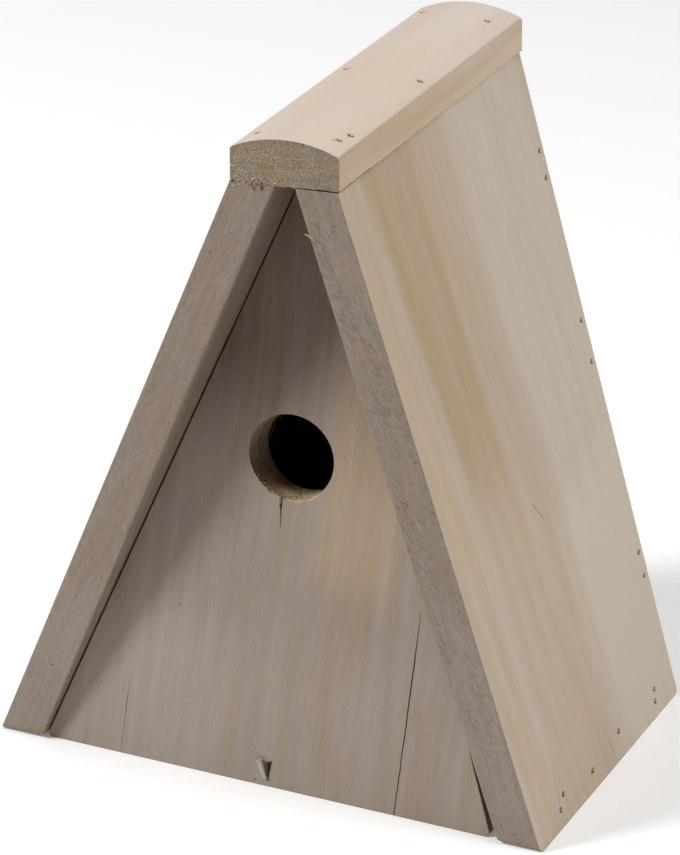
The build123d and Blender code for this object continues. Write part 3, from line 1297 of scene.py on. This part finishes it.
@dataclass
class RidgeCap:
    """The crowned cap, with its torn front end."""

    seed: float = 41.0
    tear_length: float = 2.4
    brad_sink: float = 0.8
    pit_patches: tuple[PitPatch, ...] = (
        PitPatch((-10.5, 11.0), (8.5, 2.8), 64, (2.0, 0.9, 0.7), 55.0, 21),
        PitPatch((-17.0, 5.4), (2.8, 3.6), 15, (3.8, 0.8, 0.7), 38.0, 22),
        PitPatch((-9.5, 2.2), (9.0, 2.2), 60, (2.1, 0.9, 0.8), 50.0, 23),
        PitPatch((4.0, 8.2), (9.5, 3.0), 74, (1.8, 0.75, 0.6), 60.0, 24),
        PitPatch((12.5, 6.0), (5.5, 2.2), 24, (1.4, 0.6, 0.5), 30.0, 25),
    )
    front_joint: Crack = Crack(
        ((3.6, 0.15), (7.0, 0.1), (10.0, 0.2), (14.0, 0.1), (20.2, 0.0)),
        (0.2, 0.9, 0.6, 1.1, 0.8), 1.6, 0.25, 11,
    )
    side_joint: Crack = Crack(
        ((-94.6, 0.1), (-80.0, 0.15), (-64.0, 0.05), (-52.0, 0.1), (-30.0, 0.0), (10.0, 0.05),
         (94.0, 0.0)),
        (1.3, 1.0, 1.2, 0.7, 1.0, 0.6, 0.4), 1.2, 0.2, 12,
    )
    extra_mark: Chip = Chip((13.3, BOX.front_top + 11.7), 1.5, 1.2, 0.7, 0.4)
    end_tears: tuple[ChipRow, ...] = (
        ChipRow((-BOX.ridge_width / 2, 0.1), (-4.0, 0.0), 20, (2.6, 1.2, 1.4), 1.1, 5, 0.35),
        ChipRow((-4.0, 0.0), (BOX.ridge_width / 2, 0.1), 34, (1.6, 1.1, 1.0), 0.1, 6, 0.12),
    )
    side_tears: tuple[ChipRow, ...] = (
        ChipRow(
            (BOX.front_top, 0.05), (BOX.front_top + 70, 0.05), 48, (2.4, 0.7, 0.7), 0.0, 7, 0.1
        ),
        ChipRow(
            (BOX.front_top + 70, 0.0), (-BOX.front_top, 0.0), 44, (3.0, 0.5, 0.5), 0.0, 8, 0.1
        ),
    )

    BRADS = (("left", 3), ("right", 4))
    MOUTH_SIZE = (3.6, 1.8, 0.8)
    MOUTH_TURN = 0.2
    MOUTH_SEED = 9
    HEAD_STAIN = (1.9, 0.9, 0.6)
    FLANK_SHADE = Band(0.0, 400.0, -230.0, 50.0, 0.12, 0.5, 0.3, broken=False)

    def build(self, shared: Shared) -> None:
        """Builds the cap and the fibres that hang from its front end.

        Args:
            shared: Finishes and trees that all the pieces share.
        """
        turn = Matrix.Rotation(-radians(BOX.cap_tilt), 3, "Y")
        up = turn @ UP
        heads = [
            head_patch(f"{side}_cap_brad_{number}", BEHIND, up, self.brad_sink)
            for side, count in self.BRADS for number in range(1, count + 1)
        ]
        carver = Carver("ridge_cap")
        carver.kind = Cut.DEEP
        for patch in self.pit_patches:
            carver.pits(BOX.on_cap_end, patch)
        carver.kind = Cut.FRESH
        for patch in self.pit_patches:
            carver.pits(BOX.on_cap_end, self.flecks(patch))
        carver.kind = Cut.DEEP
        carver.crack(BOX.on_cap_end, self.front_joint)
        carver.crack(BOX.on_cap_side, self.side_joint)
        carver.kind = Cut.TORN
        draw = Random(self.MOUTH_SEED)
        for patch in heads:
            turn_aside = draw.uniform(-self.MOUTH_TURN, self.MOUTH_TURN)
            carver.chip(patch.place, Chip((0.0, 0.0), *self.MOUTH_SIZE, turn_aside))
        carver.chip(BOX.on_crown, self.extra_mark)
        for row in self.end_tears:
            carver.chips(BOX.on_cap_end, row)
        for row in self.side_tears:
            carver.chips(BOX.on_cap_side, row)
        rules = self.rules(up, turn @ TO_RIGHT, heads)
        carver.finish("crowned_cap", Slot.CAP, rules, shared)
        self.hang_fibres(shared)

    @staticmethod
    def flecks(patch: PitPatch) -> PitPatch:
        """The pale flecks that lie among a patch's dark pits."""
        length, width, depth = patch.size
        size = (0.7 * length, width, 0.8 * depth)
        return replace(patch, count=patch.count // 2, size=size, seed=patch.seed + 50)

    def rules(self, up: Vector, right: Vector, heads: Sequence[Patch]) -> list[FaceRule]:
        """Builds the finishes of the cap's faces.

        Args:
            up: Direction out of the middle of the crown.
            right: Direction out of the right side.
            heads: The places over the brads' heads.

        Returns:
            A rule for each direction that the cap's faces look in.
        """
        crown = WoodFinish(
            "cap_crown", up, BEHIND, CREAM, CREAM_DEEP, self.seed, patch=0.35, streak=0.22,
            fibre=0.10, pore=0.03, ring=0.0, relief=0.03, roughness=0.72,
            streak_size=(30.0, 12.0, 260.0),
        ).stained(heads, *self.HEAD_STAIN).material()
        flank = WoodFinish(
            "cap_flank", right, BEHIND, FLANK, FLANK_DEEP, self.seed, patch=0.8, streak=0.45,
            fibre=0.25, pore=0.08, ring=0.02, relief=0.04, roughness=0.78,
            bands=(self.FLANK_SHADE,),
        ).material()
        end = WoodFinish(
            "cap_end_grain", up, BEHIND, END_PALE, END_DEEP, self.seed + 3, patch=1.0,
            streak=0.34, fibre=0.85, pore=0.1, ring=0.06, ring_spacing=2.4, pith=(-26.0, 4.0),
            relief=0.24, roughness=0.9, fibre_size=(1.3, 0.9, 26.0),
            patch_size=(3.5, 6.0, 60.0), streak_size=(2.6, 5.0, 60.0),
        ).material()
        under = WoodFinish(
            "cap_under", -up, BEHIND, EDGE_PALE, EDGE_DEEP, self.seed + 7
        ).material()
        return [
            FaceRule(up, crown), FaceRule(right, flank), FaceRule(-right, flank),
            FaceRule(AHEAD, end), FaceRule(BEHIND, end), FaceRule(-up, under),
        ]

    def hang_fibres(self, shared: Shared) -> None:
        """Hangs torn fibres, and dark flaps that are partly painted shade, from the lower edge of
        the cap's front end.
        """
        edge = [BOX.on_cap_end(across, 0.6, -0.55) for across in (-19.0, -16, -12, -8, -5.0)]
        corner = [BOX.on_cap_end(across, 0.2, -0.46) for across in (-15.6, -14.6)]
        flaps = [BOX.on_cap_end(across, 0.4, -0.46) for across in (-12.6, -5.6)]
        for material, row in (
            (shared.pale_fibres, FibreRow(
                "cap_torn_fibres_pale", edge, Vector((0.4, 0.1, -1.0)), 13, self.tear_length,
                Slot.CAP, seed=3, thickness=0.42, spread=(0.8, 0.05, 0.2), bend=1.0,
                jitter=(1.2, 0.1, 0.3),
            )),
            (shared.fresh, FibreRow(
                "cap_corner_slivers", corner, Vector((-1.0, 0.0, -0.42)), 9, 4.6, Slot.CAP,
                seed=5, thickness=0.5, spread=(0.03, 0.005, 0.14), bend=0.2,
                jitter=(0.5, 0.0, 0.3),
            )),
            # Dark flaps over the left board's edge: partly loose fibres, partly painted shade
            # under the cap's end.
            (shared.dark_fibres, FibreRow(
                "cap_torn_flaps", flaps, Vector((-0.3, 0.0, -1.0)), 12, 2.8, Slot.CAP, seed=10,
                thickness=0.5, spread=(0.35, 0.005, 0.1), bend=0.2, jitter=(0.4, 0.0, 0.2),
            )),
            (shared.dark_fibres, FibreRow(
                "cap_torn_fibres_dark", edge, Vector((0.1, 0.1, -1.0)), 17, self.tear_length,
                Slot.CAP, seed=8, thickness=0.4, spread=(0.6, 0.05, 0.2), bend=-1.0,
                jitter=(1.2, 0.1, 0.4),
            )),
        ):
            row.build(shared.tree, material)


@dataclass
class FrontPanel:
    """The panel with the entrance, its cracks and the gouge beside the nail."""

    seed: float = 61.0
    grain_lean: float = 2.6
    rim_reach: float = 16.1
    rim_depth: float = 1.3
    rim_widths: Spot = (0.3, 1.5)
    rim_cuts: tuple[tuple[int, int], ...] = ((240, 253), (264, 325))
    cracks: tuple[Crack, ...] = (
        Crack(
            ((51.4, 81.0), (50.6, 60.0), (49.0, 26.0), (47.7, 0.0)), (0.1, 0.5, 0.42, 0.35), 4.0
        ),
        Crack(
            ((-4.1, 113.2), (-4.0, 109.4), (-3.9, 108.0), (-3.5, 100.9)), (1.7, 1.2, 0.6, 0.1),
            2.2, seed=2,
        ),
        Crack(((-56.6, 34.0), (-57.4, 20.0), (-58.6, 0.0)), (0.06, 0.2, 0.12), 1.6, seed=3),
    )
    marks: tuple[tuple[Cut, Chip], ...] = (
        (Cut.TORN, Chip((-39.8, 62.9), 3.0, 0.5, 0.5, 1.1)),
        (Cut.TORN, Chip((18.2, 132.4), 0.9, 0.6, 0.6, 0.2)),
        (Cut.FRESH, Chip((-7.0, 0.9), 3.4, 1.5, 0.6, 0.1)),
    )
    nail_mark: Chip = Chip((-6.0, 1.9), 1.1, 0.8, 0.9, 0.2)
    gouge_mouth: tuple[Spot, ...] = ((-3.4, 9.7), (0.5, 10.9), (-0.9, 1.6))
    gouge_tip: Size = (-1.5, 7.6, -3.4)
    stains: tuple[Stain, ...] = (
        Stain(-7.0, 0.6, 2.0, -0.2, 2.4), Stain(25.0, 96.0, 7.0, 0.03, 0.9),
    )
    bands: tuple[Band, ...] = (
        Band(9.0, 3.0, 60.0, 240.0, 0.03, 0.9),
        Band(18.0, 4.5, 60.0, 250.0, 0.02, 0.9),
        Band(27.0, 7.0, 40.0, 220.0, 0.02, 0.8),
        Band(54.0, 9.0, -20.0, 60.0, 0.06, 0.6),
        Band(24.0, 12.0, -30.0, 40.0, 0.05, 0.6),
        Band(-42.0, 26.0, -60.0, 110.0, -0.06, -0.5, 0.5),
        # Painted shade: darker over the upper panel, under the cap and between the side boards.
        Band(0.0, 300.0, 109.0, 420.0, 0.48, 0.1, 0.3, broken=False),
        # Paler and warmer right of the entrance: painted light where the key light falls there,
        # with some of the wood's own yellow.
        Band(22.0, 24.0, 70.0, 190.0, -0.25, 0.6, 0.5, broken=False),
        # Painted shadow: darker along the left board, where its front edge shades the panel.
        Band(-46.0, 34.0, 40.0, 190.0, 0.12, 0.0, 0.4, broken=False),
        # Painted light: paler towards the foot, lit from the floor.
        Band(0.0, 300.0, -130.0, 80.0, -0.08, 0.0, 0.3, broken=False),
    )
    bore_painted_light_and_shade: tuple[Band, ...] = (
        # Painted shade: darker over all but the lowest part of the entrance's wall.
        Band(0.0, 400.0, 106.0, 190.0, 0.46, broken=False),
        # Painted light: paler and warmer on the lower wall near the entrance's mouth, where the
        # light falls in.
        Band(BOX.front_face, 9.0, 99.0, 118.5, -0.37, 0.4, 0.4, broken=False),
    )

    BORE_MARGIN = 3.0
    RIM_STEP = 5
    ARC_STEPS = 12
    ROOT_DEPTH = 0.1

    def build(self, shared: Shared) -> None:
        """Builds the panel and the fibres round its entrance.

        Args:
            shared: Finishes and trees that all the pieces share.
        """
        lean = radians(self.grain_lean)
        along = Vector((sin(lean), 0.0, cos(lean)))
        across = along.cross(AHEAD)
        face = WoodFinish(
            "panel_face", AHEAD, along, PANEL_PALE, PANEL_DEEP, self.seed, patch=0.5,
            streak=0.14, fibre=0.16, pore=0.02, ring=0.0, relief=0.06, stains=self.stains,
            patch_size=(40.0, 5.0, 110.0), streak_size=(14.0, 4.5, 140.0), bands=self.bands,
        ).material()
        bore = WoodFinish(
            "entrance_wall", across, along, BORE_PALE, BORE_DEEP, self.seed + 5, patch=0.3,
            streak=0.3, fibre=0.6, pore=0.35, ring=0.1, relief=0.2, roughness=0.95,
            bands=self.bore_painted_light_and_shade,
        ).material()
        end = WoodFinish(
            "panel_end", AHEAD, along, END_PALE, END_DEEP, self.seed + 9, fibre=0.7, pore=0.4
        ).material()
        rules = [
            FaceRule(AHEAD, face), FaceRule(BEHIND, face), FaceRule(across, end),
            FaceRule(-across, end), FaceRule(DOWN, end), FaceRule(UP, end),
        ]

        def in_bore(polygon: bpy.types.MeshPolygon) -> bpy.types.Material | None:
            """The entrance wall's finish, for a face that lies on it."""
            middle = Vector((BOX.entrance_shift, 0.0, BOX.entrance_height)) * MM
            off = polygon.center - middle
            reach = (BOX.entrance_radius + self.BORE_MARGIN) * MM
            near = Vector((off.x, off.z)).length < reach
            return bore if near and abs(polygon.normal.y) < 0.5 else None

        self.carved().finish("entrance_panel", Slot.PANEL, rules, shared, in_bore)
        self.grow_fibres(shared)

    def carved(self) -> Carver:
        """A carver with the panel's cracks, marks, torn rim and gouge."""
        carver = Carver("front_panel")
        for crack in self.cracks:
            carver.crack(BOX.on_panel, crack)
        for kind, mark in self.marks:
            carver.kind = kind
            carver.chip(BOX.on_panel, mark)
        carver.kind = Cut.FRESH
        for first, last in self.rim_cuts:
            carver.crack(BOX.on_panel, self.rim_cut(first, last))
        carver.kind = Cut.DEEP
        carver.chip(BOX.on_panel, self.nail_mark)
        mouth = [BOX.on_panel(x, z, carver.OVERSHOOT) for x, z in self.gouge_mouth]
        carver.pyramid(mouth, BOX.on_panel(*self.gouge_tip))
        return carver

    def rim_cut(self, first: int, last: int) -> Crack:
        """A torn place on the entrance's lower rim, between two angles in degrees."""
        turns = [radians(turn) for turn in range(first, last, self.RIM_STEP)]
        path = tuple(
            (BOX.entrance_shift + self.rim_reach * cos(turn),
             BOX.entrance_height + self.rim_reach * sin(turn))
            for turn in turns
        )
        span = turns[-1] - turns[0]
        low, high = self.rim_widths
        widths = tuple(
            low + (high - low) * sin((turn - turns[0]) / span * pi) for turn in turns
        )
        return Crack(path, widths, self.rim_depth, wander=0.12, seed=7)

    def arc(self, start: float, end: float, depth: float) -> list[Vector]:
        """Points just inside the entrance's wall, between two angles in degrees."""
        turns = [start + (end - start) * k / self.ARC_STEPS for k in range(self.ARC_STEPS + 1)]
        return [BOX.in_entrance(radians(turn), depth, -self.ROOT_DEPTH) for turn in turns]

    def grow_fibres(self, shared: Shared) -> None:
        """Grows fuzz on the lower wall of the entrance and at its torn inner rim."""
        for material, row in (
            (shared.pale_fibres, FibreRow(
                "entrance_fuzz_front", self.arc(210, 300, 1.5), Vector((0.2, -0.3, 0.9)), 110,
                0.8, Slot.PANEL, seed=11, thickness=0.24, spread=(0.7, 0.7, 0.5), bend=1.0,
                jitter=(0.3, 1.2, 0.3),
            )),
            (shared.dark_fibres, FibreRow(
                "entrance_fuzz_deep", self.arc(200, 278, 7.5), Vector((0.2, -0.4, 0.9)), 130,
                0.8, Slot.PANEL, seed=12, thickness=0.24, spread=(0.7, 0.7, 0.7), bend=1.0,
                jitter=(0.3, 5.0, 0.3),
            )),
            (shared.deep, FibreRow(
                "entrance_torn_rim", self.arc(105, 180, BOX.front_thickness - 0.4),
                Vector((0.8, 0.2, -0.5)), 54, 1.3, Slot.PANEL, seed=13, thickness=0.7,
                spread=(0.5, 0.3, 0.7), bend=0.6, jitter=(0.3, 0.2, 0.3),
            )),
        ):
            row.build(shared.tree, material)


@dataclass
class PlainBoards:
    """The back panel and the floor board, which keep their CAD shapes."""

    seed: float = 81.0

    def build(self) -> None:
        """Dresses both boards."""
        for number, (node, out, along) in enumerate((
            ("back_panel", BEHIND, UP), ("floor_board", DOWN, TO_RIGHT),
        )):
            dress_node(node, WoodFinish(
                f"{node}_wood", out, along, PALE_BOARD, DEEP_BOARD, self.seed + 9 * number,
                patch=0.5, streak=0.5, fibre=0.4, pore=0.15, ring=0.1,
            ).material())


@dataclass
class Fasteners:
    """The brads, which keep their CAD shapes, and the bent nail."""

    brad_steel: SteelFinish = SteelFinish(
        "brad_steel", (0.16, 0.14, 0.12), (0.07, 0.04, 0.025), 0.35, 0.62, 0.5
    )
    nail_steel: SteelFinish = SteelFinish(
        "nail_steel", (0.44, 0.40, 0.36), (0.24, 0.17, 0.12), 0.60, 0.80, 0.45, 0.35
    )
    nail_path: tuple[tuple[float, float, float, float], ...] = (
        (-1.8, -10.0, 3.4, 0.70), (-1.8, -0.3, 3.4, 0.70), (-1.82, 0.55, 3.55, 0.70),
        (-2.1, 1.05, 4.3, 0.72), (-2.8, 1.2, 6.2, 0.82), (-3.6, 1.3, 8.4, 0.92),
        (-4.2, 1.35, 10.1, 0.95),
    )
    head_radius: float = 1.35
    head_thickness: float = 0.6
    nail_sides: int = 14

    SIDEWAYS = Vector((1.0, 0.1, 0.0))
    SMOOTH_ANGLE = 40

    def build(self) -> None:
        """Dresses every brad and builds the nail."""
        brad = self.brad_steel.material()
        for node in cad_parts:
            if "_brad_" in node:
                dress_node(node, brad)
        self.bend_nail()

    def nail_rings(self) -> list[tuple[Vector, float]]:
        """Middle and radius of each ring of the nail, from its shank to the top of its head."""
        rings = [(BOX.on_panel(x, z, out), radius) for x, out, z, radius in self.nail_path]
        neck = rings[-1][0]
        top = (neck - rings[-2][0]).normalized()
        head, thick = self.head_radius, self.head_thickness
        for rise, radius in (
            (0.02, head * 0.86), (0.2 * thick, head), (0.8 * thick, head), (thick, head * 0.8),
        ):
            rings.append((neck + top * rise * MM, radius))
        return rings

    def bend_nail(self) -> None:
        """Builds the nail, hammered flat against the panel, with its head."""
        mesh = bmesh.new()
        rings = self.nail_rings()
        turns = [2 * pi * side / self.nail_sides for side in range(self.nail_sides)]
        skin = []
        for index, (point, radius) in enumerate(rings):
            before = rings[max(index - 1, 0)][0]
            ahead = (rings[min(index + 1, len(rings) - 1)][0] - before).normalized()
            across = ahead.cross(self.SIDEWAYS).normalized()
            third = ahead.cross(across)
            skin.append([
                mesh.verts.new(point + (across * cos(turn) + third * sin(turn)) * radius * MM)
                for turn in turns
            ])
        for corners in tube_faces(skin):
            mesh.faces.new(corners)
        bmesh.ops.recalc_face_normals(mesh, faces=mesh.faces)
        data = bpy.data.meshes.new("bent_nail")
        mesh.to_mesh(data)
        mesh.free()
        data.materials.append(self.nail_steel.material())
        data.polygons.foreach_set("use_smooth", [True] * len(data.polygons))
        data.set_sharp_from_angle(angle=radians(self.SMOOTH_ANGLE))
        holder = new_object("bent_nail_shape", data)
        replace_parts(settle(holder, "bent_nail", Slot.NAILS), "front_nail")


@dataclass
class Studio:
    """Floor, lights and camera."""

    focal_pixels: float = 5486.0
    frame_height: int = 855
    sensor: float = 36.0
    azimuth: float = 19.322
    elevation: float = 21.385
    roll: float = 4.514
    distance: float = 2008.0
    target: Vector = field(default_factory=lambda: Vector((-10.965, 13.25, 111.19)))
    floor_size: float = 12.0
    floor_tone: float = 0.95
    floor_glow: float = 0.165
    sky: float = 0.02
    lights: tuple[tuple[str, Size, float, float], ...] = (
        ("front_left", (-0.56, -0.53, 0.65), 0.75, 72.0),
        ("overhead", (0.05, 0.0, 1.0), 1.6, 39.0),
        ("right", (0.95, 0.0, 0.35), 1.6, 37.0),
    )
    light_distance: float = 3.0
    light_aim: float = 120.0

    def build(self) -> None:
        """Builds the whole set."""
        self.build_floor()
        self.build_camera()
        for light in self.lights:
            self.build_light(*light)
        world = bpy.data.worlds.new("studio")
        world.use_nodes = True
        background = world.node_tree.nodes["Background"]
        background.inputs["Color"].default_value = (*WHITE, 1.0)
        background.inputs["Strength"].default_value = self.sky
        bpy.context.scene.world = world
        bpy.context.scene.view_settings.view_transform = "Standard"

    def build_floor(self) -> None:
        """Lays a plain pale floor under the box."""
        half = self.floor_size / 2
        mesh = bpy.data.meshes.new("floor")
        corners = [(-half, -half, 0.0), (half, -half, 0.0), (half, half, 0.0), (-half, half, 0.0)]
        mesh.from_pydata(corners, [], [(0, 1, 2, 3)])
        floor = new_object("floor", mesh)
        graph = Graph("pale_floor")
        graph.paint(
            base_color=(self.floor_tone,) * 3, roughness=0.9, specular_ior_level=0.1,
            emission_color=WHITE, emission_strength=self.floor_glow,
        )
        mesh.materials.append(graph.material)

    def build_light(self, name: str, towards: Size, size: float, power: float) -> None:
        """Hangs a soft round light.

        Args:
            name: Name of the light.
            towards: Direction from the box to the light.
            size: Diameter of the light in metres.
            power: Power in watts.
        """
        data = bpy.data.lights.new(name, "AREA")
        data.shape = "DISK"
        data.size = size
        data.energy = power
        light = new_object(name, data)
        back = Vector(towards).normalized()
        light.location = UP * self.light_aim * MM + back * self.light_distance
        light.rotation_euler = back.to_track_quat("Z", "Y").to_euler()

    def build_camera(self) -> None:
        """Sets the camera at the photograph's viewing angle."""
        azimuth = radians(self.azimuth)
        elevation = radians(self.elevation)
        roll = radians(self.roll)
        back = Vector((
            sin(azimuth) * cos(elevation), -cos(azimuth) * cos(elevation), sin(elevation)
        ))
        right = Vector((cos(azimuth), sin(azimuth), 0.0))
        up = back.cross(right)
        x_axis = right * cos(roll) + up * sin(roll)
        y_axis = up * cos(roll) - right * sin(roll)
        data = bpy.data.cameras.new("camera")
        data.lens = self.focal_pixels * self.sensor / self.frame_height
        data.sensor_width = self.sensor
        camera = new_object("camera", data)
        turn = Matrix((x_axis, y_axis, back)).transposed().to_4x4()
        place = Matrix.Translation((self.target + back * self.distance) * MM)
        camera.matrix_world = place @ turn
        bpy.context.scene.camera = camera


RIGHT_BOARD = SideBoard(
    Side.RIGHT, 3.0, SawMarks(0.44, 0.55, 2.8, -32.0, 0.12), grain_turn=2.5,
    splinter=(10.4, 221.1),
    scratches=(
        Crack(((1.75, 102.4), (5.0, 98.6), (9.65, 94.0)), (0.1, 0.4, 0.1), 0.6, 0.6),
        Crack(((-39.0, 20.7), (-40.0, 7.9)), (0.12, 0.3), 0.7, seed=4),
        Crack(((16.9, 10.0), (18.9, 4.7)), (0.1, 0.3), 0.6, seed=5),
        Crack(((57.2, 4.4), (58.1, 0.0)), (0.1, 0.3), 0.6, seed=6),
    ),
    bands=(
        Band(78.0, 50.0, -120.0, 420.0, -0.25, -0.7, 0.35, broken=False),
        Band(30.0, 9.0, 40.0, 300.0, 0.08, 0.1),
        Band(18.0, 8.0, 80.0, 300.0, 0.08, 0.1),
        Band(27.0, 3.0, 60.0, 310.0, -0.05),
        Band(-16.0, 36.0, 60.0, 330.0, 0.22, 0.5, 0.6, broken=False),
        Band(-60.0, 12.0, -120.0, 420.0, -0.08, 0.25),
        Band(-40.0, 9.0, -20.0, 240.0, -0.12, -0.4),
        # Painted light: paler low on the board towards the back, lit from the floor.
        Band(70.0, 60.0, -60.0, 70.0, -0.24, -0.4, 0.5, broken=False),
    ),
)
LEFT_BOARD = SideBoard(
    Side.LEFT, 17.0, SawMarks(0.12, 0.6, 3.0, 20.0, 0.05),
    edge_chips=(
        Chip((-84.6, 31.7), 1.3, 0.78, 0.78, 0.4), Chip((-53.6, 163.3), 1.2, 0.72, 0.72, 0.4),
    ),
)
TORN_FINISHES = {
    "torn": FibreFinish("torn_wood", (0.17, 0.125, 0.088), (0.085, 0.058, 0.04)),
    "fresh": FibreFinish("fresh_torn_wood", (0.52, 0.42, 0.28), (0.34, 0.25, 0.15)),
    # Torn wood darkened almost to black: partly the wood's own colour, partly painted shade in the
    # cracks, pits, joints and gouges it lines.
    "deep": FibreFinish("deep_torn_wood", (0.062, 0.028, 0.017), (0.025, 0.012, 0.007)),
    "pale_fibres": FibreFinish("pale_fibres", (0.46, 0.37, 0.26), (0.28, 0.20, 0.13)),
    "dark_fibres": FibreFinish("dark_fibres", (0.20, 0.14, 0.09), (0.09, 0.06, 0.04)),
}


def main() -> None:
    """Builds the box's sub-assemblies in order, then the set."""
    logging.basicConfig(level=logging.INFO, format="%(name)s %(message)s")
    finishes = {name: finish.material() for name, finish in TORN_FINISHES.items()}
    shared = Shared(**finishes, tree=FibreTree())
    for piece in (RIGHT_BOARD, LEFT_BOARD, RidgeCap(), FrontPanel()):
        piece.build(shared)
    for piece in (PlainBoards(), Fasteners(), Studio()):
        piece.build()


if __name__ == "__main__":
    main()
